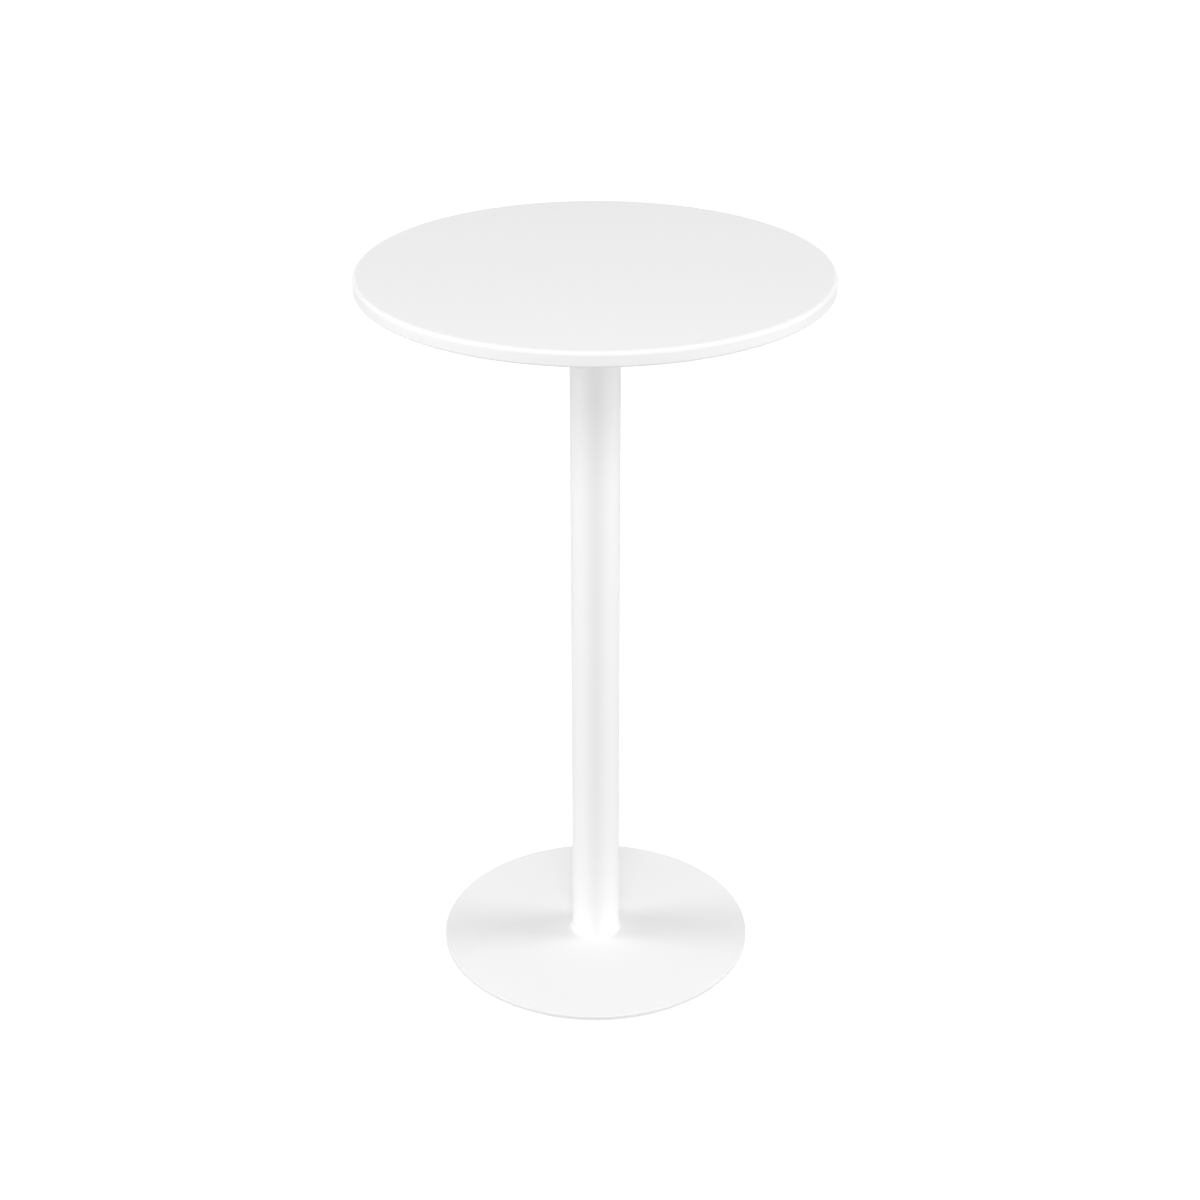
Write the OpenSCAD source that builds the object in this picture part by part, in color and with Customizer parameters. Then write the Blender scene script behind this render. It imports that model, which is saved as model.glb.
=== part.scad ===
// Round bar table. A lacquered board stands on a steel column, and one long
// threaded rod pulls board plate, column and heavy disc base together.
// Millimetres, +Z up, the floor at z = 0 and the column's axis on Z.

/* [Whole table] */
// Height of the board's top face above the floor
table_h = 1150; // [900:10:1200]

/* [Board] */
// Diameter of the board
board_d = 700; // [550:10:900]
// Thickness of the board
board_t = 22; // [20:1:40]
// Radius of the board's upper edge
board_edge_r = 6.5; // [2:0.5:8]
// Radius of the board's lower edge
board_under_r = 3.5; // [0.5:0.5:4]

/* [Column] */
// Outer diameter of the column tube
column_d = 76; // [66:1:90]
// Wall of the column tube
column_wall = 2; // [1.5:0.5:4]
// Height of the two spigots that centre the tube
spigot_h = 25; // [15:1:40]
// Wall of the upper spigot ring
spigot_wall = 4; // [3:0.5:8]

/* [Base disc] */
// Diameter of the base disc
base_d = 500; // [430:10:650]
// Height of the disc's upright rim
rim_h = 6; // [5.5:0.5:10]
// Rise of the disc's top face from the rim to the column
base_rise = 2; // [1:0.5:8]
// Radius of the rim's upper edge
rim_top_r = 1.2; // [0.5:0.1:1.5]
// Radius of the rim's lower edge
rim_under_r = 0.6; // [0.3:0.1:1]
// Radius of the hollow curve between disc and column
neck_r = 5; // [3:0.5:9]
// Height of the straight collar between the hollow curve and the tube's foot
collar_h = 11; // [10.5:0.5:20]
// Diameter of the pocket under the disc for the clamping nut
pocket_d = 48; // [42:1:60]

/* [Tie rod] */
// Thread diameter of the tie rod
rod_d = 10; // [8:1:12]
// Width across the flats of the rod's nuts
nut_flats = 16; // [15:1:20]
// Height of the rod's nuts
nut_h = 8.4; // [6:0.2:9]
// Diameter of the clamping washer
clamp_washer_d = 40; // [30:1:41]
// Thickness of the clamping washer
clamp_washer_t = 3; // [2:0.5:4]
// Diameter of the spring washer
spring_washer_d = 18; // [16:0.5:22]
// Thickness of the spring washer
spring_washer_t = 2.2; // [1.6:0.2:3]
// Gap between the spring washer's cut ends
spring_washer_cut = 1.5; // [0.5:0.5:3]
// Length of rod that stands out below the clamping nut
rod_tail = 2; // [1:0.5:4]
// Height of the rod's lower end above the disc's underside
rod_up = 0.9; // [0.5:0.1:3]

/* [Board plate] */
// Diameter of the steel plate under the board
plate_d = 280; // [220:10:400]
// Thickness of the plate
plate_t = 4; // [3:0.5:8]
// Number of screws in the plate
screw_count = 6; // [4:1:8]
// Diameter of the circle through the screws
screw_circle_d = 240; // [180:5:250]
// Thread diameter of a screw
screw_d = 6; // [5:0.5:8]
// Length of a screw below its head
screw_l = 16; // [12:1:18]
// Diameter of a screw's head
screw_head_d = 12; // [11:0.5:14]
// Height of a screw's head
screw_head_h = 3.6; // [3:0.2:6]
// Width across the flats of the socket in the head
socket_flats = 4; // [3:0.5:5]
// Depth of the socket in the head
socket_deep = 2; // [1:0.5:2.5]
// Diameter of a washer under a screw's head
screw_washer_d = 14; // [13:0.5:20]
// Thickness of a washer under a screw's head
screw_washer_t = 1.6; // [1:0.2:3]
// Diameter of a threaded insert in the board
insert_d = 10; // [9.5:0.5:13]
// Length of a threaded insert
insert_l = 13; // [10:0.5:15]

/* [Levelling feet] */
// Diameter of the circle through the four feet
foot_circle_d = 370; // [300:10:400]
// Thread diameter of a foot screw
foot_thread_d = 8; // [6:0.5:10]
// Length of thread above a foot screw's hexagon
foot_thread_l = 4.8; // [4:0.1:5.2]
// Width across the flats of a foot screw's hexagon
foot_hex_flats = 17; // [14:1:20]
// Height of a foot screw's hexagon
foot_hex_h = 1.4; // [1:0.1:3]
// Diameter of the button on which the pad turns
foot_button_d = 11; // [8:0.5:13]
// Height of the button
foot_button_h = 0.7; // [0.5:0.1:1]
// Diameter of a foot pad
pad_d = 26; // [22:1:34]
// Height of a foot pad
pad_h = 1.6; // [1.5:0.1:4]
// Bevel round the sole of a foot pad
pad_bevel = 0.4; // [0.2:0.1:0.6]

/* [Fits] */
// Radial play between a screw and its thread, and of an insert in the board
thread_gap = 0.05; // [0.02:0.01:0.1]
// Radial play of a screw or rod in a plain hole
hole_gap = 0.3; // [0.2:0.1:0.6]
// Radial play of the spigots in the column tube
spigot_gap = 0.2; // [0.1:0.05:0.4]
// Free depth past the end of a blind thread
blind_gap = 0.3; // [0.2:0.1:0.5]
// Play of a foot screw's button in its pad
button_gap = 0.1; // [0.05:0.05:0.2]
// Small bevel on turned ends
end_bevel = 0.6; // [0.3:0.1:1]

/* [Hidden] */
$fn = 96;

lacquer_white = [0.96, 0.96, 0.955];
powder_white = [0.95, 0.95, 0.945];
zinc = [0.74, 0.75, 0.77];
nylon_grey = [0.45, 0.46, 0.47];

// Cuts run this far past the faces that they open
past = 1;

board_r = board_d / 2;
column_r = column_d / 2;
bore_r = column_r - column_wall;
base_r = base_d / 2;
rod_r = rod_d / 2;

// Levels, from the floor up
under_z = pad_h + foot_hex_h;
rim_z = under_z + rim_h;
slope = atan(base_rise / (base_r - column_r));
function cone_z(r) = rim_z + (base_r - r) * tan(slope);
neck_centre_r = column_r + neck_r;
neck_z = cone_z(neck_centre_r) + neck_r / cos(slope);
seat_z = neck_z + collar_h;
rod_low_z = under_z + rod_up;
clamp_nut_z = rod_low_z + rod_tail;
spring_washer_z = clamp_nut_z + nut_h;
clamp_washer_z = spring_washer_z + spring_washer_t;
pocket_z = clamp_washer_z + clamp_washer_t;
board_z = table_h - board_t;
plate_z = board_z - plate_t;
screw_head_z = plate_z - screw_washer_t;
rod_high_z = board_z - blind_gap;

// Hexagonal prism standing on z = 0, given its width across the flats
module hexagon(flats, h) {
    cylinder(h = h, r = flats / 2 / cos(30), $fn = 6);
}

// Rod along Z from one level to another, with both ends bevelled
module bevelled_rod(r, low, high, bevel) {
    rotate_extrude()
        polygon([
            [0, low], [r - bevel, low], [r, low + bevel],
            [r, high - bevel], [r - bevel, high], [0, high]
        ]);
}

// Flat ring standing on z = 0
module ring(r_out, r_in, h) {
    difference() {
        cylinder(h = h, r = r_out);
        translate([0, 0, -past]) cylinder(h = h + 2 * past, r = r_in);
    }
}

module each_screw() {
    for (i = [0 : screw_count - 1])
        rotate([0, 0, 360 / screw_count * (i + 0.5)])
            translate([screw_circle_d / 2, 0, 0]) children();
}

module at_foot(i) {
    rotate([0, 0, 90 * i - 45]) translate([foot_circle_d / 2, 0, 0]) children();
}

// Half outline of the board: a slab with a large upper and a small lower edge radius
module board_outline() {
    translate([0, board_z]) square([board_r - board_edge_r, board_t]);
    translate([0, board_z]) square([board_r - board_under_r, board_under_r * 2]);
    translate([0, board_z + board_under_r])
        square([board_r, board_t - board_under_r - board_edge_r]);
    translate([board_r - board_edge_r, table_h - board_edge_r]) circle(board_edge_r);
    translate([board_r - board_under_r, board_z + board_under_r]) circle(board_under_r);
}

module table_top() {
    color(lacquer_white) difference() {
        rotate_extrude() board_outline();
        each_screw() translate([0, 0, board_z - past])
            cylinder(h = insert_l + blind_gap + past, r = insert_d / 2 + thread_gap);
    }
}

module threaded_inserts() {
    color(zinc) each_screw() translate([0, 0, board_z])
        ring(insert_d / 2, screw_d / 2 + thread_gap, insert_l);
}

module top_plate() {
    color(powder_white) difference() {
        bevelled_rod(plate_d / 2, plate_z, board_z, end_bevel);
        each_screw() translate([0, 0, plate_z - past])
            cylinder(h = plate_t + 2 * past, r = screw_d / 2 + hole_gap);
        translate([0, 0, plate_z - past])
            cylinder(h = plate_t + 2 * past, r = rod_r + hole_gap);
    }
}

// Button-head screws, put in from below through washer and plate into the inserts
module plate_screws() {
    shoulder_r = screw_head_d / 2;
    color(zinc) each_screw() translate([0, 0, screw_head_z]) difference() {
        union() {
            bevelled_rod(screw_d / 2, -past, screw_l, end_bevel);
            rotate_extrude() polygon([
                [0, -screw_head_h], [shoulder_r * 0.55, -screw_head_h],
                [shoulder_r * 0.85, -screw_head_h * 0.7], [shoulder_r, -end_bevel],
                [shoulder_r, 0], [0, 0]
            ]);
        }
        translate([0, 0, -screw_head_h - past]) hexagon(socket_flats, socket_deep + past);
    }
}

module plate_washers() {
    color(zinc) each_screw() translate([0, 0, screw_head_z])
        ring(screw_washer_d / 2, screw_d / 2 + hole_gap, screw_washer_t);
}

// Ring welded under the plate, which centres the top of the tube
module top_spigot() {
    spigot_r = bore_r - spigot_gap;
    color(powder_white) translate([0, 0, plate_z - spigot_h]) rotate_extrude()
        polygon([
            [spigot_r - spigot_wall, 0], [spigot_r - end_bevel, 0],
            [spigot_r, end_bevel], [spigot_r, spigot_h], [spigot_r - spigot_wall, spigot_h]
        ]);
}

// Nut welded under the plate, inside the ring, which holds the rod
module rod_top_nut() {
    color(zinc) translate([0, 0, plate_z - nut_h]) difference() {
        hexagon(nut_flats, nut_h);
        translate([0, 0, -past]) cylinder(h = nut_h + 2 * past, r = rod_r + thread_gap);
    }
}

module column_tube() {
    color(powder_white) translate([0, 0, seat_z]) ring(column_r, bore_r, plate_z - seat_z);
}

module tie_rod() {
    color(zinc) bevelled_rod(rod_r, rod_low_z, rod_high_z, end_bevel);
}

// Half outline of the disc: upright rim, very shallow cone, a hollow curve that
// meets the cone without a corner, and a collar as wide as the column
module base_outline() {
    rim_centre_z = cone_z(base_r - rim_top_r) - rim_top_r / cos(slope);
    difference() {
        polygon([
            [0, under_z], [base_r - rim_under_r, under_z],
            [base_r - rim_under_r, under_z + rim_under_r], [base_r, under_z + rim_under_r],
            [base_r, rim_centre_z], [base_r - rim_top_r, rim_centre_z],
            [base_r - rim_top_r * (1 - sin(slope)), rim_centre_z + rim_top_r * cos(slope)],
            [neck_centre_r + neck_r * sin(slope), neck_z - neck_r * cos(slope)],
            [neck_centre_r, neck_z], [column_r, neck_z], [column_r, seat_z], [0, seat_z]
        ]);
        translate([neck_centre_r, neck_z]) circle(neck_r);
    }
    translate([base_r - rim_top_r, rim_centre_z]) circle(rim_top_r);
    translate([base_r - rim_under_r, under_z + rim_under_r]) circle(rim_under_r);
}

module base_disc() {
    color(powder_white) difference() {
        rotate_extrude() base_outline();
        translate([0, 0, under_z - past])
            cylinder(h = pocket_z - under_z + past, r = pocket_d / 2);
        translate([0, 0, under_z])
            cylinder(h = seat_z - under_z + past, r = rod_r + hole_gap);
        for (i = [1 : 4])
            at_foot(i) translate([0, 0, under_z - past])
                cylinder(h = foot_thread_l + blind_gap + past, r = foot_thread_d / 2 + thread_gap);
    }
}

// Turned block on the disc's seat, which centres the foot of the tube
module base_spigot() {
    color(zinc) difference() {
        bevelled_rod(bore_r - spigot_gap, seat_z, seat_z + spigot_h, end_bevel);
        translate([0, 0, seat_z - past])
            cylinder(h = spigot_h + 2 * past, r = rod_r + hole_gap);
    }
}

module clamp_washer() {
    color(zinc) translate([0, 0, clamp_washer_z])
        ring(clamp_washer_d / 2, rod_r + hole_gap, clamp_washer_t);
}

module spring_washer() {
    color(zinc) translate([0, 0, spring_washer_z]) difference() {
        ring(spring_washer_d / 2, rod_r + hole_gap, spring_washer_t);
        translate([0, -spring_washer_cut / 2, -past])
            cube([spring_washer_d, spring_washer_cut, spring_washer_t + 2 * past]);
    }
}

module clamp_nut() {
    color(zinc) translate([0, 0, clamp_nut_z]) difference() {
        hexagon(nut_flats, nut_h);
        translate([0, 0, -past]) cylinder(h = nut_h + 2 * past, r = rod_r + thread_gap);
    }
}

// Thread, hexagon and the button below it, on which the pad turns
module foot_screw(i) {
    color(zinc) at_foot(i) {
        bevelled_rod(foot_thread_d / 2, under_z - foot_hex_h / 2, under_z + foot_thread_l, end_bevel);
        translate([0, 0, pad_h]) hexagon(foot_hex_flats, foot_hex_h);
        translate([0, 0, pad_h - foot_button_h])
            cylinder(h = foot_button_h + foot_hex_h / 2, r = foot_button_d / 2);
    }
}

// Round sole with a shallow cup for the screw's button
module foot_pad(i) {
    color(nylon_grey) at_foot(i) difference() {
        rotate_extrude() polygon([
            [0, 0], [pad_d / 2 - pad_bevel, 0], [pad_d / 2, pad_bevel],
            [pad_d / 2, pad_h], [0, pad_h]
        ]);
        translate([0, 0, pad_h - foot_button_h - button_gap])
            cylinder(h = foot_button_h + button_gap + past, r = foot_button_d / 2 + button_gap);
    }
}

table_top();
threaded_inserts();
top_plate();
plate_screws();
plate_washers();
top_spigot();
rod_top_nut();
column_tube();
tie_rod();
base_disc();
base_spigot();
clamp_washer();
spring_washer();
clamp_nut();
foot_screw(1);  // foot_screw_1
foot_screw(2);  // foot_screw_2
foot_screw(3);  // foot_screw_3
foot_screw(4);  // foot_screw_4
foot_pad(1);  // foot_pad_1
foot_pad(2);  // foot_pad_2
foot_pad(3);  // foot_pad_3
foot_pad(4);  // foot_pad_4
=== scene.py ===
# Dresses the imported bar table: finer surfaces on the CAD frame, finishes, floor, lamps and camera.
# Metres, +Z up, the floor at z = 0 and the column's axis on Z.
import math

import bmesh
import bpy
import numpy as np
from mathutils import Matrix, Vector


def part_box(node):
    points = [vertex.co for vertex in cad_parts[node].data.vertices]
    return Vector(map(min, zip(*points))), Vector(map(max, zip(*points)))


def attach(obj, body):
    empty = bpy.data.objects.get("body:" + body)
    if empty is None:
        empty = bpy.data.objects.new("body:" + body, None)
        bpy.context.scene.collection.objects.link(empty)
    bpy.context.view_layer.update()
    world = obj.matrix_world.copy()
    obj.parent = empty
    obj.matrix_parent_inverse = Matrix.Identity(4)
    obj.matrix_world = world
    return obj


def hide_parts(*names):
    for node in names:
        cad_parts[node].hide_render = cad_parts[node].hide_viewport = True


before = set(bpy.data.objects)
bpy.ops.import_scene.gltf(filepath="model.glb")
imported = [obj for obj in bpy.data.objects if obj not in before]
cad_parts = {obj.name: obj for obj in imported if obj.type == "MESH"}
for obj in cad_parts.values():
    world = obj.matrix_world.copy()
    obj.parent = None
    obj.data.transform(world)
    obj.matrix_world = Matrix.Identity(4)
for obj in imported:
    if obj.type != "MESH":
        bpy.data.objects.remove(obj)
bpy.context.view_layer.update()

mm = 0.001
turn = 2 * math.pi
scene = bpy.context.scene


# Outlines and rows of points

# Outline through corners (r, z, radius). An arc of that radius rounds a corner: it starts and ends
# radius / tan(half the corner's angle) from it, and turns about its centre in equal steps.
def roundedOutline(corners, stepDeg=7.5):
    points = np.array([corner[:2] for corner in corners], float)
    runs = [points[:1]]
    for before, corner, after, (_, _, radius) in zip(points[:-2], points[1:-1], points[2:], corners[1:-1]):
        back = (before - corner) / np.linalg.norm(before - corner)
        ahead = (after - corner) / np.linalg.norm(after - corner)
        angle = math.acos(float(np.clip(back @ ahead, -1, 1)))  # between the two stretches
        if radius == 0:
            runs.append(corner[None])
            continue
        middle = (back + ahead) / np.linalg.norm(back + ahead)
        centre = corner + middle * radius / math.sin(angle / 2)
        x, y = corner + back * radius / math.tan(angle / 2) - centre
        side = np.sign(x * (corner + ahead - centre)[1] - y * (corner + ahead - centre)[0])
        steps = max(2, math.ceil(math.degrees(math.pi - angle) / stepDeg))
        t = np.linspace(0, side * (math.pi - angle), steps + 1)
        runs.append(centre + np.stack([x * np.cos(t) - y * np.sin(t), x * np.sin(t) + y * np.cos(t)], axis=1))
    runs.append(points[-1:])
    return np.concatenate(runs)


# Angles of the columns of a row: u = turn * j / columns.
def rowAngles(columns):
    return np.arange(columns) / columns * turn


# Rows round the Z axis: x = r cos u, y = r sin u, where r and z are one value, or one for each column, per row.
def roundRows(r, z, columns):
    u = rowAngles(columns)
    r, z, u = np.broadcast_arrays(r, z, u[None])
    return np.stack([r * np.cos(u), r * np.sin(u), z], axis=-1)


# Rows of a turned outline: every (r, z) of it becomes one row.
def turnedRows(outline, columns):
    return roundRows(outline[:, :1], outline[:, 1:], columns)


# Radius of a hexagon at angle u: half the flats / cos of the angle from the nearest flat's middle.
def hexagonRadius(flats, columns):
    u = rowAngles(columns)
    return flats / 2 / np.cos(u % (turn / 6) - turn / 12)


coneShare = 0.95  # of half the flats


# Rows of a hexagon from low to high, its corners cut by a cone: z moves in by slope * (r - the cone's own radius).
def hexagonRows(flats, low, high, slope, columns):
    cone = flats / 2 * coneShare
    r = hexagonRadius(flats, columns)
    drop = slope * (r - cone)
    return np.concatenate([
        roundRows(cone, low, columns), roundRows(r[None], low + drop, columns),
        roundRows(r[None], high - drop, columns), roundRows(cone, high, columns)
    ])


# Rows of a screw thread, four to a pitch, which follow the helix: z = low + pitch (v / 4 + u / turn - 1), held
# between low and high. r goes from crest to root and back in each pitch, and runs out to the root at both ends.
def threadRows(thread, low, high, columns):
    crest, pitch, depth = thread["radius"], thread["pitch"], thread["depth"]
    share = np.array([0, 0.125, 0.4375, 0.6875])  # of the pitch: crest, crest, root, root
    v = np.arange(4 * (math.ceil((high - low) / pitch) + 1) + 1)[:, None]
    u = rowAngles(columns)[None]
    z = np.clip(low + pitch * (v // 4 + share[v % 4] + u / turn - 1), low, high)
    r = np.where(v % 4 < 2, crest, crest - depth) + 0 * u
    r = np.minimum(r, crest - depth + np.minimum(z - low, high - z))
    return roundRows(r, z, columns)


# Skin over blocks of rows. Neighbouring rows are joined by quads and each row is closed on itself; in a block
# with a climb, on the row that many further up. A ring's last row joins its first, and otherwise both ends are
# closed by a fan. The skin is repeated at each spot (x, y, angle).
def skin(name, blocks, ring=False, spots=((0, 0, 0),), sharpDeg=32):
    blocks = [block if isinstance(block, tuple) else (block, 0) for block in blocks]
    rows = np.concatenate([points for points, climb in blocks])
    count, columns = rows.shape[:2]
    starts = np.cumsum([0] + [len(points) for points, climb in blocks])
    wrap = np.concatenate([
        start + np.minimum(np.arange(len(points)) + climb, len(points) - 1)
        for start, (points, climb) in zip(starts, blocks)
    ])
    here = np.arange(count * columns).reshape(count, columns)
    beside = np.concatenate([here[:, 1:], here[wrap, :1]], axis=1)
    above, besideAbove = np.roll(here, -1, axis=0), np.roll(beside, -1, axis=0)
    quads = np.stack([here, beside, besideAbove, above], axis=-1)
    points = rows.reshape(-1, 3)
    fans = np.empty((0, 3), int)
    if not ring:
        quads = quads[:-1]
        points = np.concatenate([points, rows[0].mean(0)[None], rows[-1].mean(0)[None]])
        bottom = np.full(columns, count * columns)
        fans = np.concatenate([
            np.stack([bottom, beside[0], here[0]], axis=1),
            np.stack([here[-1], beside[-1], bottom + 1], axis=1)
        ])
    quads = quads.reshape(-1, 4)
    x, y, angle = np.array(spots, float).T[:, :, None]
    placed = np.stack([
        x + np.cos(angle) * points[:, 0] - np.sin(angle) * points[:, 1],
        y + np.sin(angle) * points[:, 0] + np.cos(angle) * points[:, 1],
        points[:, 2] + 0 * angle
    ], axis=-1).reshape(-1, 3)
    shift = (np.arange(len(spots)) * len(points))[:, None, None]
    faces = (quads + shift).reshape(-1, 4).tolist() + (fans + shift).reshape(-1, 3).tolist()
    mesh = bpy.data.meshes.new(name)
    mesh.from_pydata(placed.tolist(), [], faces)
    work = bmesh.new()
    work.from_mesh(mesh)
    bmesh.ops.remove_doubles(work, verts=work.verts, dist=1e-6)  # poles, held thread rows
    bmesh.ops.dissolve_degenerate(work, edges=work.edges, dist=1e-7)
    work.to_mesh(mesh)
    work.free()
    mesh.shade_smooth()
    mesh.set_sharp_from_angle(angle=math.radians(sharpDeg))
    return mesh


# Puts a mesh into the scene as a piece: it rides a body, shows in place of CAD nodes and takes its material.
def addPiece(name, mesh, material, nodes, body="table"):
    piece = bpy.data.objects.new(name, mesh)
    scene.collection.objects.link(piece)
    mesh.materials.append(material)
    normals = piece.modifiers.new("flatFaceNormals", "WEIGHTED_NORMAL")
    normals.keep_sharp = True
    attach(piece, body)
    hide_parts(*nodes)
    print("piece:", name, len(mesh.polygons), "faces")


# Finishes

noiseRange = (0.3, 0.7)  # where most of a noise's values lie


# New material and its shader. The values are the same all over, so they sit on the shader's own sockets.
def newFinish(name, values):
    material = bpy.data.materials.new(name)
    material.use_nodes = True
    shader = material.node_tree.nodes["Principled BSDF"]
    for socket, value in values.items():
        shader.inputs[socket].default_value = value
    return material, material.node_tree, shader


# Node of a type, with its properties, and inputs that are values or sockets.
def addNode(tree, kind, inputs, **settings):
    node = tree.nodes.new(kind)
    for key, value in settings.items():
        setattr(node, key, value)
    for key, value in inputs.items():
        if isinstance(value, bpy.types.NodeSocket):
            tree.links.new(value, node.inputs[key])
        else:
            node.inputs[key].default_value = value
    return node


# Noise in object coordinates with features of about that size in metres.
def addNoise(tree, size, detail=2.0, stretch=(1, 1, 1)):
    place = addNode(tree, "ShaderNodeTexCoord", {})
    mapped = addNode(tree, "ShaderNodeMapping", {"Vector": place.outputs["Object"], "Scale": stretch})
    noise = addNode(tree, "ShaderNodeTexNoise", {
        "Vector": mapped.outputs["Vector"], "Scale": 1 / size, "Detail": detail, "Roughness": 0.55
    })
    return noise.outputs["Fac"]


# Value carried from one range into another: toLow + (value - low) / (high - low) * (toHigh - toLow), held inside.
def remap(tree, value, low, high, toLow, toHigh):
    node = addNode(tree, "ShaderNodeMapRange", {
        "Value": value, "From Min": low, "From Max": high, "To Min": toLow, "To Max": toHigh
    })
    return node.outputs["Result"]


# Colour that wanders between two near colours with a value.
def wander(tree, value, colourA, colourB):
    mix = addNode(tree, "ShaderNodeMix", {"Factor": value}, data_type="RGBA")
    mix.inputs["A"].default_value = (*colourA, 1)
    mix.inputs["B"].default_value = (*colourB, 1)
    return mix.outputs["Result"]


# Bumps of that height in metres under the shader, over the bumps already there.
def addBump(tree, shader, height, value):
    bump = addNode(tree, "ShaderNodeBump", {"Height": value, "Distance": height, "Strength": 1.0})
    held = shader.inputs["Normal"].links
    if held:
        tree.links.new(held[0].from_socket, bump.inputs["Normal"])
    tree.links.new(bump.outputs["Normal"], shader.inputs["Normal"])


lacquer = {
    "colour": (0.795, 0.795, 0.795), "shade": (0.783, 0.783, 0.783),
    "roughLow": 0.46, "roughHigh": 0.56, "cloudSize": 0.16, "peelSize": 2.2 * mm, "peelHeight": 0.022 * mm
}


# Sprayed satin lacquer: cloudy gloss and a very fine orange peel.
def makeLacquer():
    material, tree, shader = newFinish("satinLacquer", {"IOR": 1.5})
    clouds = addNoise(tree, lacquer["cloudSize"], 3)
    tree.links.new(wander(tree, clouds, lacquer["shade"], lacquer["colour"]), shader.inputs["Base Color"])
    rough = remap(tree, clouds, *noiseRange, lacquer["roughLow"], lacquer["roughHigh"])
    tree.links.new(rough, shader.inputs["Roughness"])
    addBump(tree, shader, lacquer["peelHeight"], addNoise(tree, lacquer["peelSize"], 1.5))
    return material


powder = {
    "colour": (0.87, 0.87, 0.87), "shade": (0.856, 0.856, 0.856),
    "roughLow": 0.50, "roughHigh": 0.60, "cloudSize": 0.09, "peelSize": 1.6 * mm, "peelHeight": 0.06 * mm
}


# Powder coat on steel: coarser orange peel, pin-fine grain and slightly uneven gloss.
def makePowderCoat():
    material, tree, shader = newFinish("powderCoat", {"IOR": 1.5})
    clouds = addNoise(tree, powder["cloudSize"], 3)
    tree.links.new(wander(tree, clouds, powder["shade"], powder["colour"]), shader.inputs["Base Color"])
    rough = remap(tree, clouds, *noiseRange, powder["roughLow"], powder["roughHigh"])
    tree.links.new(rough, shader.inputs["Roughness"])
    addBump(tree, shader, powder["peelHeight"], addNoise(tree, powder["peelSize"], 2))
    addBump(tree, shader, powder["peelHeight"] / 3, addNoise(tree, powder["peelSize"] / 4, 1))
    return material


zinc = {
    "bright": (0.70, 0.71, 0.73), "dull": (0.58, 0.59, 0.62),
    "roughLow": 0.26, "roughHigh": 0.44, "blotchSize": 6 * mm, "markSize": 2.5 * mm, "grainHeight": 0.01 * mm
}


# Zinc-plated steel: blotchy passivation, fine turning marks round each piece and a little grain.
def makeZinc():
    material, tree, shader = newFinish("zincPlate", {"Metallic": 1.0})
    blotches = addNoise(tree, zinc["blotchSize"], 4)
    marks = addNoise(tree, zinc["markSize"], 3, stretch=(1, 1, 9))
    tree.links.new(wander(tree, blotches, zinc["dull"], zinc["bright"]), shader.inputs["Base Color"])
    tree.links.new(remap(tree, marks, 0.25, 0.75, zinc["roughLow"], zinc["roughHigh"]), shader.inputs["Roughness"])
    addBump(tree, shader, zinc["grainHeight"], marks)
    return material


nylon = {
    "colour": (0.20, 0.20, 0.205), "worn": (0.26, 0.26, 0.26), "roughLow": 0.48, "roughHigh": 0.62,
    "grainSize": 0.5 * mm, "cloudSize": 5 * mm, "grainHeight": 0.02 * mm, "wornLevels": (0.1 * mm, 0.6 * mm)
}


# Moulded nylon: spark-eroded grain, a little paler where it rubs on the floor.
def makeNylon():
    material, tree, shader = newFinish("mouldedNylon", {"IOR": 1.53})
    grain = addNoise(tree, nylon["grainSize"], 2)
    clouds = addNoise(tree, nylon["cloudSize"], 3)
    place = addNode(tree, "ShaderNodeTexCoord", {})
    height = addNode(tree, "ShaderNodeSeparateXYZ", {"Vector": place.outputs["Object"]}).outputs["Z"]
    rubbed = remap(tree, height, *nylon["wornLevels"], 1, 0)
    patches = addNode(tree, "ShaderNodeMath", {0: rubbed, 1: clouds}, operation="MULTIPLY").outputs["Value"]
    tree.links.new(wander(tree, patches, nylon["colour"], nylon["worn"]), shader.inputs["Base Color"])
    rough = remap(tree, clouds, *noiseRange, nylon["roughLow"], nylon["roughHigh"])
    tree.links.new(rough, shader.inputs["Roughness"])
    addBump(tree, shader, nylon["grainHeight"], grain)
    return material


satinLacquer = makeLacquer()
powderCoat = makePowderCoat()
zincPlate = makeZinc()
mouldedNylon = makeNylon()
print("finishes ready")


# Board

board = {"edgeRadius": 6.5 * mm, "underRadius": 3.5 * mm, "rings": 8, "columns": 288}


# Board: a slab turned round Z, with a large upper and a small lower edge radius.
def makeBoard():
    low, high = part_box("table_top")
    inner = np.linspace(0.05, 0.95, board["rings"]) * high.x
    underside = [(r, low.z, 0) for r in inner]
    topFace = [(r, high.z, 0) for r in inner[::-1]]
    edge = [(high.x, low.z, board["underRadius"]), (high.x, high.z, board["edgeRadius"])]
    outline = roundedOutline(underside + edge + topFace)
    mesh = skin("board", [turnedRows(outline, board["columns"])])
    addPiece("board", mesh, satinLacquer, ["table_top"])


# Column

column = {"wall": 2 * mm, "lipRadius": 0.15 * mm, "rings": 24, "columns": 144}


# Column: a tube with broken lips, its outer wall in equal rings so that light and bakes stay even.
def makeColumn():
    low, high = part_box("column_tube")
    outer, bore, lip = high.x, high.x - column["wall"], column["lipRadius"]
    levels = np.linspace(low.z, high.z, column["rings"] + 1)[1:-1]
    outline = roundedOutline(
        [(outer - column["wall"] / 2, low.z, 0), (outer, low.z, lip)]
        + [(outer, z, 0) for z in levels]
        + [(outer, high.z, lip), (bore, high.z, lip), (bore, low.z, lip), (outer - column["wall"] / 2, low.z, 0)]
    )
    mesh = skin("columnTube", [turnedRows(outline, column["columns"])], ring=True)
    addPiece("columnTube", mesh, powderCoat, ["column_tube"])


# Base

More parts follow.
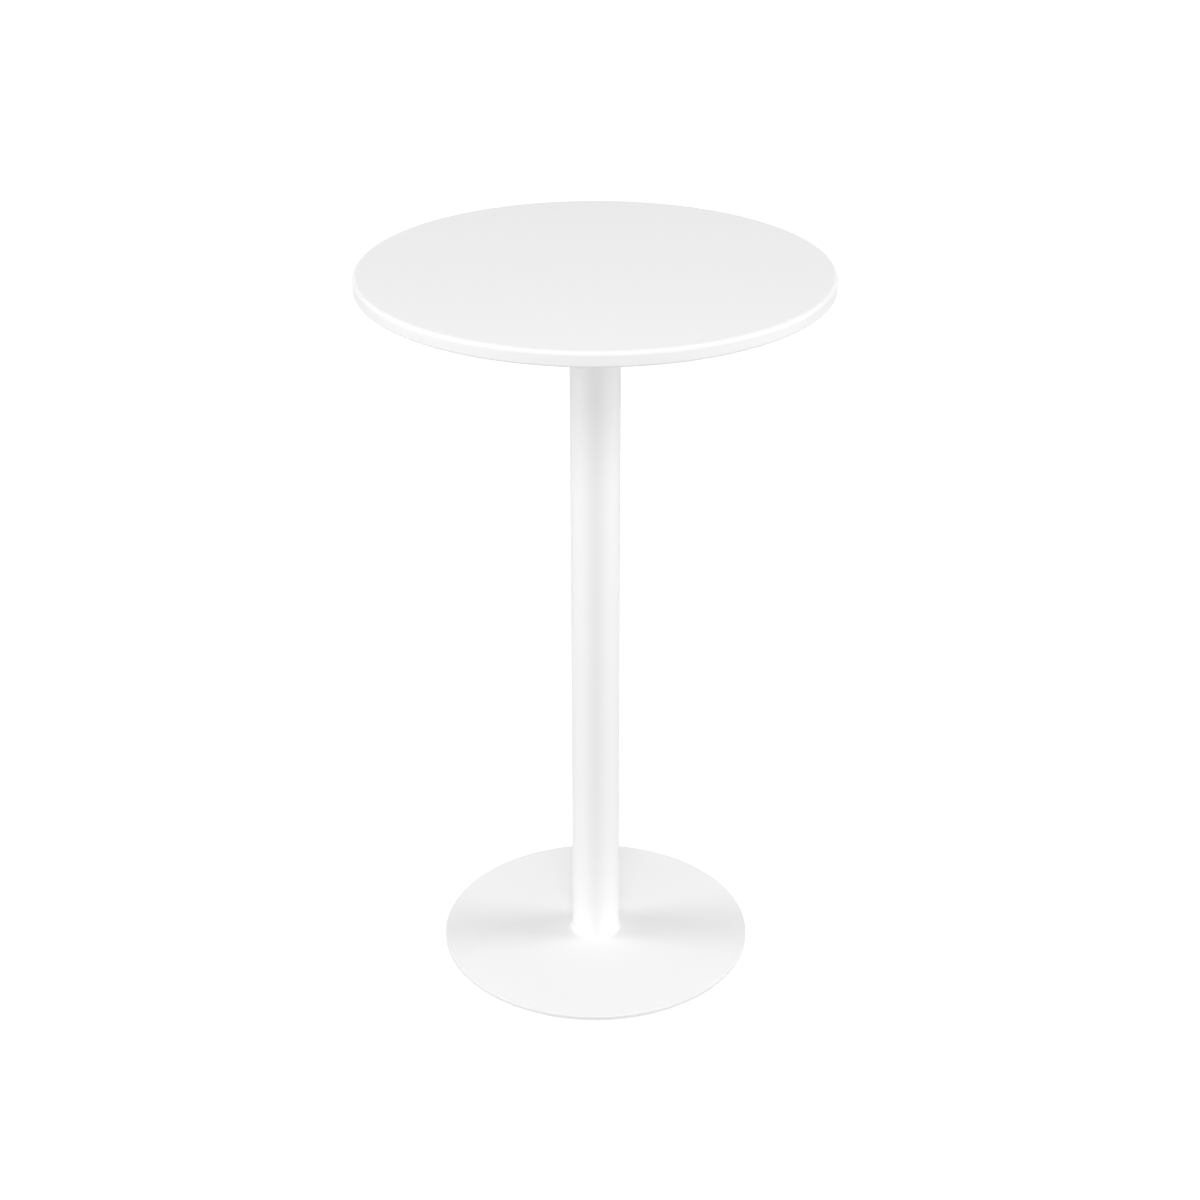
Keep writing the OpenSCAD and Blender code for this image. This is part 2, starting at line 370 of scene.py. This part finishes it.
base = {
    "rimHeight": 6 * mm, "rise": 2 * mm, "rimTopRadius": 1.2 * mm, "rimUnderRadius": 0.6 * mm,
    "neckRadius": 5 * mm, "pocketRadius": 24 * mm, "pocketLip": 0.5 * mm, "rings": 10, "columns": 288
}


# Base disc: upright rim, almost flat cone, hollow curve, collar up to the tube, and the clamping pocket below.
# On the cone z = rim + (rim radius - r) * rise / (rim radius - column radius).
def makeBase():
    low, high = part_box("base_disc")
    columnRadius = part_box("column_tube")[1].x
    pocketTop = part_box("clamp_washer")[1].z
    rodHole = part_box("tie_rod")[1].x + 0.3 * mm
    rimTop = low.z + base["rimHeight"]
    coneTop = rimTop + base["rise"]
    inner = np.linspace(0.94, 0.28, base["rings"]) * high.x
    cone = [(r, rimTop + (high.x - r) * base["rise"] / (high.x - columnRadius), 0) for r in inner]
    outline = roundedOutline(
        [(rodHole, pocketTop, 0), (base["pocketRadius"], pocketTop, base["pocketLip"])]
        + [(base["pocketRadius"], low.z, base["pocketLip"])]
        + [(r, low.z, 0) for r in inner[::-1]]
        + [(high.x, low.z, base["rimUnderRadius"]), (high.x, rimTop, base["rimTopRadius"])]
        + cone
        + [(columnRadius, coneTop, base["neckRadius"]), (columnRadius, high.z, 0), (rodHole, high.z, 0)],
        stepDeg=5
    )
    mesh = skin("baseDisc", [turnedRows(outline, base["columns"])], ring=True)
    addPiece("baseDisc", mesh, powderCoat, ["base_disc"])


makeBoard()
makeColumn()
makeBase()


# Board plate and its fasteners

plateScrew = {
    "count": 6, "circleRadius": 120 * mm, "thread": {"radius": 3 * mm, "pitch": 1 * mm, "depth": 0.6 * mm},
    "headRadius": 6 * mm, "headHeight": 3.6 * mm, "length": 16 * mm, "socketFlats": 4 * mm,
    "socketDepth": 2 * mm, "columns": 48
}


# Places of the plate's screws: equal turns round the screw circle.
def screwSpots():
    step = turn / plateScrew["count"]
    angles = (np.arange(plateScrew["count"]) + 0.5) * step
    return [(plateScrew["circleRadius"] * math.cos(a), plateScrew["circleRadius"] * math.sin(a), a) for a in angles]


# Button-head screws, heads down: hexagonal socket, domed head, plain neck and a threaded shank.
def makePlateScrews():
    s, columns = plateScrew, plateScrew["columns"]
    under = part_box("plate_washers")[0].z  # the heads bear on the washers
    face, shank = under - s["headHeight"], s["thread"]["radius"] - s["thread"]["depth"]
    socket = hexagonRadius(s["socketFlats"], columns)[None]
    floorZ = face + s["socketDepth"]
    hollow = np.concatenate([
        roundRows(0.5 * mm, floorZ + 0.3 * mm, columns), roundRows(socket * 0.96, floorZ, columns),
        roundRows(socket, floorZ, columns), roundRows(socket, face + 0.15 * mm, columns),
        roundRows(socket + 0.15 * mm, face, columns)
    ])
    dome = roundedOutline([
        (s["headRadius"] * 0.5, face, 0), (s["headRadius"] * 0.62, face, 0.4 * mm),
        (s["headRadius"] * 0.93, face + s["headHeight"] * 0.42, 3.2 * mm),
        (s["headRadius"], under - 0.5 * mm, 0.3 * mm), (s["headRadius"], under, 0.2 * mm), (shank, under, 0)
    ])
    thread = threadRows(s["thread"], under + 0.5 * mm, under + s["length"], columns)
    blocks = [hollow, turnedRows(dome, columns), (thread, 4)]
    mesh = skin("plateScrews", blocks, spots=screwSpots())
    addPiece("plateScrews", mesh, zincPlate, ["plate_screws"])


# Punched washer: the face it was punched from is a little rounder than the other.
def washerOutline(outer, inner, low, high):
    return roundedOutline([
        ((outer + inner) / 2, low, 0), (outer, low, 0.15 * mm), (outer, high, 0.35 * mm),
        (inner, high, 0.25 * mm), (inner, low, 0.1 * mm), ((outer + inner) / 2, low, 0)
    ], stepDeg=15)


def makePlateWashers():
    low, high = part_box("plate_washers")
    outline = washerOutline(7 * mm, plateScrew["thread"]["radius"] + 0.3 * mm, low.z, high.z)
    mesh = skin("plateWashers", [turnedRows(outline, 48)], ring=True, spots=screwSpots())
    addPiece("plateWashers", mesh, zincPlate, ["plate_washers"])


insert = {"thread": {"radius": 5 * mm, "pitch": 3.2 * mm, "depth": 0.8 * mm}, "columns": 32}


# Threaded inserts: a coarse wood thread outside and the screw's bore inside.
def makeInserts():
    low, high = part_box("threaded_inserts")
    columns, bore = insert["columns"], plateScrew["thread"]["radius"] + 0.05 * mm
    thread = threadRows(insert["thread"], low.z, high.z, columns)
    hole = turnedRows(np.array([(bore + 0.3 * mm, high.z), (bore, high.z - 0.3 * mm),
                                (bore, low.z + 0.3 * mm), (bore + 0.3 * mm, low.z)]), columns)
    mesh = skin("threadedInserts", [(thread, 4), hole], ring=True, spots=screwSpots())
    addPiece("threadedInserts", mesh, zincPlate, ["threaded_inserts"])


makePlateScrews()
makePlateWashers()
makeInserts()


# Spigots, welds, rod and nuts

spigot = {"ringWall": 4 * mm, "bevel": 0.6 * mm, "columns": 96}


# Ring under the plate, which centres the top of the tube, with a turned lead-in.
def makeTopSpigot():
    low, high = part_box("top_spigot")
    outer, inner, bevel = high.x, high.x - spigot["ringWall"], spigot["bevel"]
    outline = np.array([
        (inner + bevel / 2, low.z), (outer - bevel, low.z), (outer, low.z + bevel), (outer, high.z),
        (inner, high.z), (inner, low.z + bevel / 2)
    ])
    mesh = skin("topSpigot", [turnedRows(outline, spigot["columns"])], ring=True)
    addPiece("topSpigot", mesh, powderCoat, ["top_spigot"])


weld = {"leg": 3 * mm, "sunk": 0.3 * mm, "ripples": 72, "rippleHeight": 0.18 * mm, "columns": 432}


# Weld bead in the corner between a wall and the plate above it: the section runs from the wall to the plate on an
# arc, whose leg swells by rippleHeight * cos(ripples * u). Side is 1 where the bead lies outside the wall.
def weldRows(wall, top, side):
    u = rowAngles(weld["columns"])
    leg = weld["leg"] + weld["rippleHeight"] * np.cos(weld["ripples"] * u)
    t = np.linspace(0, turn / 4, 7)[:, None]
    bulge = 1 - 0.25 * np.sin(2 * t)  # pulls the arc in towards the corner
    r = wall + side * leg * np.sin(t) * bulge
    z = top - leg * np.cos(t) * bulge
    back = roundRows(wall - side * weld["sunk"] + np.zeros((1, len(u))), top + weld["sunk"], weld["columns"])
    rows = np.concatenate([back, roundRows(r, z, weld["columns"])])
    return rows if side > 0 else rows[::-1]


# Beads that hold the ring and the nut to the plate, inside the tube and under the same powder coat.
def makePlateWelds():
    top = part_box("top_plate")[0].z
    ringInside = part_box("top_spigot")[1].x - spigot["ringWall"]
    nutWall = hexagonRadius(nut["flats"], weld["columns"])
    for name, wall, side in (("ringWeld", ringInside, -1), ("nutWeld", nutWall, 1)):
        addPiece(name, skin(name, [weldRows(wall, top, side)], ring=True), powderCoat, [])


# Turned block on the disc, which centres the foot of the tube: bevelled, with a shallow relief groove.
def makeBaseSpigot():
    low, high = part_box("base_spigot")
    outer, hole, bevel = high.x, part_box("tie_rod")[1].x + 0.3 * mm, spigot["bevel"]
    groove = (low.z + high.z) / 2
    outline = roundedOutline([
        (hole + bevel, low.z, 0), (outer - bevel, low.z, 0), (outer, low.z + bevel, 0),
        (outer, groove - 2 * mm, 0), (outer - 0.5 * mm, groove - 1.5 * mm, 0.3 * mm),
        (outer - 0.5 * mm, groove + 1.5 * mm, 0.3 * mm), (outer, groove + 2 * mm, 0),
        (outer, high.z - bevel, 0), (outer - bevel, high.z, 0), (hole + bevel, high.z, 0),
        (hole, high.z - bevel, 0), (hole, low.z + bevel, 0)
    ])
    mesh = skin("baseSpigot", [turnedRows(outline, spigot["columns"])], ring=True)
    addPiece("baseSpigot", mesh, zincPlate, ["base_spigot"])


rod = {"thread": {"radius": 5 * mm, "pitch": 1.5 * mm, "depth": 0.92 * mm}, "threaded": 60 * mm, "columns": 32}


# Tie rod: a plain shank with a thread at each end.
def makeTieRod():
    low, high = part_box("tie_rod")
    columns, shank = rod["columns"], rod["thread"]["radius"]
    lower = threadRows(rod["thread"], low.z, low.z + rod["threaded"], columns)
    upper = threadRows(rod["thread"], high.z - rod["threaded"], high.z, columns)
    levels = np.array([low.z + rod["threaded"] + 2 * mm, high.z - rod["threaded"] - 2 * mm])[:, None]
    mesh = skin("tieRod", [(lower, 4), roundRows(shank, levels, columns), (upper, 4)])
    addPiece("tieRod", mesh, zincPlate, ["tie_rod"])


nut = {"flats": 16 * mm, "bevel": 0.8 * mm, "slope": 0.55, "columns": 48}


# Hexagonal nut: both ends cut by a cone, and a bevelled bore.
def makeNut(name, node):
    low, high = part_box(node)
    columns, bevel = nut["columns"], nut["bevel"]
    bore = rod["thread"]["radius"] + 0.05 * mm
    faces = hexagonRows(nut["flats"], low.z, high.z, nut["slope"], columns)
    hole = turnedRows(np.array([(bore + bevel, high.z), (bore, high.z - bevel),
                                (bore, low.z + bevel), (bore + bevel, low.z)]), columns)
    mesh = skin(name, [faces, hole], ring=True)
    addPiece(name, mesh, zincPlate, [node])


def makeClampWasher():
    low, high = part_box("clamp_washer")
    outline = washerOutline(high.x, rod["thread"]["radius"] + 0.3 * mm, low.z, high.z)
    mesh = skin("clampWasher", [turnedRows(outline, 96)], ring=True)
    addPiece("clampWasher", mesh, zincPlate, ["clamp_washer"])


springWasher = {"cut": 1.5 * mm, "corner": 0.25 * mm, "steps": 90}


# Split spring washer: a square section carried round an open turn, from one side of the cut to the other.
def makeSpringWasher():
    low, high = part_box("spring_washer")
    outer, inner, c = high.y, rod["thread"]["radius"] + 0.3 * mm, springWasher["corner"]
    section = roundedOutline([
        ((outer + inner) / 2, low.z, 0), (outer, low.z, c), (outer, high.z, c),
        (inner, high.z, c), (inner, low.z, c), ((outer + inner) / 2, low.z, 0)
    ], stepDeg=30)[:-1]
    half = math.asin(springWasher["cut"] / 2 / outer)
    u = np.linspace(half, turn - half, springWasher["steps"])[:, None]
    rows = np.stack([section[:, 0] * np.cos(u), section[:, 0] * np.sin(u), section[:, 1] + 0 * u], axis=-1)
    mesh = skin("springWasher", [rows[::-1]])
    addPiece("springWasher", mesh, zincPlate, ["spring_washer"])


makeTopSpigot()
makePlateWelds()
makeBaseSpigot()
makeTieRod()
makeNut("rodTopNut", "rod_top_nut")
makeNut("clampNut", "clamp_nut")
makeClampWasher()
makeSpringWasher()


# Levelling feet

foot = {
    "count": 4, "thread": {"radius": 4 * mm, "pitch": 1.25 * mm, "depth": 0.75 * mm}, "flats": 17 * mm,
    "buttonRadius": 5.5 * mm, "grooves": (6.5 * mm, 8.5 * mm, 10.5 * mm), "grooveDepth": 0.25 * mm, "columns": 72
}


# Foot screw: button, thin hexagon and thread as one skin.
def makeFootScrew(number, spot):
    low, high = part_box(f"foot_screw_{number}")
    padTop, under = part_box(f"foot_pad_{number}")[1].z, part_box("base_disc")[0].z
    columns, button = foot["columns"], foot["buttonRadius"]
    bottom = turnedRows(roundedOutline([
        (button * 0.5, low.z, 0), (button, low.z, 0.2 * mm), (button, padTop, 0)
    ]), columns)
    hexagon = hexagonRows(foot["flats"], padTop, under, 0.2, columns)
    thread = threadRows(foot["thread"], under, high.z, columns)
    mesh = skin(f"footScrew{number}", [bottom, hexagon, (thread, 4)], spots=[spot])
    addPiece(f"footScrew{number}", mesh, zincPlate, [f"foot_screw_{number}"], f"screw_{number}")


# Foot pad: moulded sole with three fine grooves, soft edges and a cup for the screw's button.
def makeFootPad(number, spot):
    low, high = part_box(f"foot_pad_{number}")
    radius, columns, g = (high.x - low.x) / 2, foot["columns"], foot["grooveDepth"]
    cup, cupFloor = foot["buttonRadius"] + 0.1 * mm, high.z - 0.8 * mm
    grooves = [
        point for r in foot["grooves"]
        for point in ((r - g, low.z, 0), (r - g / 2, low.z + g, 0), (r + g / 2, low.z + g, 0), (r + g, low.z, 0))
    ]
    outline = roundedOutline(
        [(radius * 0.2, low.z, 0)] + grooves
        + [(radius - 0.4 * mm, low.z, 0.2 * mm), (radius, low.z + 0.4 * mm, 0.2 * mm), (radius, high.z, 0.3 * mm)]
        + [(cup, high.z, 0.15 * mm), (cup, cupFloor, 0), (cup * 0.4, cupFloor, 0)]
    )
    mesh = skin(f"footPad{number}", [turnedRows(outline, columns)], spots=[spot])
    addPiece(f"footPad{number}", mesh, mouldedNylon, [f"foot_pad_{number}"], f"pad_{number}")


for number in range(1, foot["count"] + 1):
    low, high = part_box(f"foot_pad_{number}")
    middle = (low + high) / 2
    spot = (middle.x, middle.y, math.atan2(middle.y, middle.x))
    makeFootScrew(number, spot)
    makeFootPad(number, spot)

# The plate keeps its CAD shape, and its material slot takes the powder coat.
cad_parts["top_plate"].data.materials[0] = powderCoat


# Floor and world

studio = {
    "floorSize": 60.0, "floorColour": (0.30, 0.30, 0.30), "shadowShare": 0.35, "floorGlow": 0.90,
    "ambient": 0.440, "gridPoints": 9
}


# Share of camera, glossy and transmission rays: 1 for them and 0 for light that falls on the object.
def seenRays(tree):
    rays = addNode(tree, "ShaderNodeLightPath", {})
    first = addNode(tree, "ShaderNodeMath", {
        0: rays.outputs["Is Camera Ray"], 1: rays.outputs["Is Glossy Ray"]
    }, operation="MAXIMUM")
    return addNode(tree, "ShaderNodeMath", {
        0: first.outputs["Value"], 1: rays.outputs["Is Transmission Ray"]
    }, operation="MAXIMUM").outputs["Value"]


# Pale floor: for light it is plain diffuse; where it is seen, a white glow lifts it to the white background and
# a share of its own shading keeps the object's shadow. Seen from below it is clear.
def makeFloor():
    half, count = studio["floorSize"] / 2, studio["gridPoints"]
    grid = np.linspace(-half, half, count)
    x, y = np.meshgrid(grid, grid)
    points = np.stack([x, y, 0 * x], axis=-1).reshape(-1, 3)
    index = np.arange(count * count).reshape(count, count)
    faces = np.stack([index[:-1, :-1], index[:-1, 1:], index[1:, 1:], index[1:, :-1]], axis=-1).reshape(-1, 4)
    mesh = bpy.data.meshes.new("studioFloor")
    mesh.from_pydata(points.tolist(), [], faces.tolist())
    floor = bpy.data.objects.new("studioFloor", mesh)
    scene.collection.objects.link(floor)
    material = bpy.data.materials.new("paleFloor")
    material.use_nodes = True
    tree = material.node_tree
    tree.nodes.clear()
    plain = addNode(tree, "ShaderNodeBsdfDiffuse", {"Color": (*studio["floorColour"], 1)})
    shaded = addNode(tree, "ShaderNodeBsdfDiffuse", {"Color": (*[studio["shadowShare"]] * 3, 1)})
    glow = addNode(tree, "ShaderNodeEmission", {"Color": (1, 1, 1, 1), "Strength": studio["floorGlow"]})
    seen = addNode(tree, "ShaderNodeAddShader", {0: shaded.outputs["BSDF"], 1: glow.outputs["Emission"]})
    either = addNode(tree, "ShaderNodeMixShader", {
        0: seenRays(tree), 1: plain.outputs["BSDF"], 2: seen.outputs["Shader"]
    })
    clear = addNode(tree, "ShaderNodeBsdfTransparent", {})
    side = addNode(tree, "ShaderNodeNewGeometry", {}).outputs["Backfacing"]
    final = addNode(tree, "ShaderNodeMixShader", {0: side, 1: either.outputs["Shader"], 2: clear.outputs["BSDF"]})
    addNode(tree, "ShaderNodeOutputMaterial", {"Surface": final.outputs["Shader"]})
    mesh.materials.append(material)


# White world: strength 1 where it is seen, and the plain ambient level where it lights the object.
def makeWorld():
    world = bpy.data.worlds.new("paleWorld")
    world.use_nodes = True
    tree = world.node_tree
    tree.nodes.clear()
    light = addNode(tree, "ShaderNodeBackground", {"Color": (1, 1, 1, 1), "Strength": studio["ambient"]})
    white = addNode(tree, "ShaderNodeBackground", {"Color": (1, 1, 1, 1), "Strength": 1.0})
    either = addNode(tree, "ShaderNodeMixShader", {
        0: seenRays(tree), 1: light.outputs["Background"], 2: white.outputs["Background"]
    })
    addNode(tree, "ShaderNodeOutputWorld", {"Surface": either.outputs["Shader"]})
    scene.world = world


makeFloor()
makeWorld()
print("floor and world ready")


# Lamps

lamps = {
    "front": {"place": (0, -3.8, 0.9), "aim": (0, 0, 0.6), "size": (1.4, 1.0), "watts": 55.9, "glints": False},
    "near": {"place": (0, -1.7, 2.2), "aim": (0, 0, 1.0), "size": (0.9, 0.5), "watts": 8.3, "glints": False},
    "left": {"place": (-3.1, -0.075, 2.0), "aim": (0, 0, 0.2), "size": (1.5, 2.8), "watts": 43.2, "glints": True},
    "leftLow": {"place": (-3.1, -0.075, 0.9), "aim": (0, 0, 0.5), "size": (1.5, 1.2), "watts": 12.7, "glints": True},
    "right": {"place": (3.1, 0.01, 2.0), "aim": (0, 0, 0.2), "size": (1.5, 2.8), "watts": 42.0, "glints": True},
    "rightLow": {"place": (3.1, 0.01, 0.9), "aim": (0, 0, 0.5), "size": (1.5, 1.2), "watts": 14.4, "glints": True},
    "overhead": {"place": (0, 0, 4.0), "aim": (0, 0, 0), "size": (2.5, 2.5), "watts": 26.9, "glints": True}
}


# Softbox: a rectangular area lamp turned to its aim, which the camera doesn't see.
def addLamp(name, values):
    data = bpy.data.lights.new(name, "AREA")
    data.shape = "RECTANGLE"
    data.size, data.size_y = values["size"]
    data.energy = values["watts"]
    lamp = bpy.data.objects.new(name, data)
    scene.collection.objects.link(lamp)
    place = np.array(values["place"], float)
    away = place - np.array(values["aim"], float)
    across = math.hypot(away[0], away[1])
    lamp.location = place
    lamp.rotation_euler = (math.atan2(across, away[2]), 0, math.atan2(away[0], -away[1]))
    lamp.visible_camera = False
    lamp.visible_glossy = values["glints"]


for name, values in lamps.items():
    addLamp(name, values)


# Plain camera without shift, fitted to the outlines of the board and the base. The column's sides, which are
# parallel in the photograph, fit it less well. Its axis passes the column a little to the right.
view = {
    "focalPixels": 2255, "pictureSize": 1200, "axisPixels": 5.1, "distance": 3.133, "height": 2.167,
    "tiltDeg": 26.34, "sensor": 36
}


def makeCamera():
    data = bpy.data.cameras.new("photoCamera")
    data.sensor_width = view["sensor"]
    data.lens = view["focalPixels"] * view["sensor"] / view["pictureSize"]
    camera = bpy.data.objects.new("photoCamera", data)
    scene.collection.objects.link(camera)
    camera.location = (0, -view["distance"], view["height"])
    aside = math.atan2(view["axisPixels"], view["focalPixels"])
    camera.rotation_euler = (math.radians(90 - view["tiltDeg"]), 0, -aside)
    scene.camera = camera


makeCamera()
scene.view_settings.view_transform = "Standard"
print("lamps and camera ready")
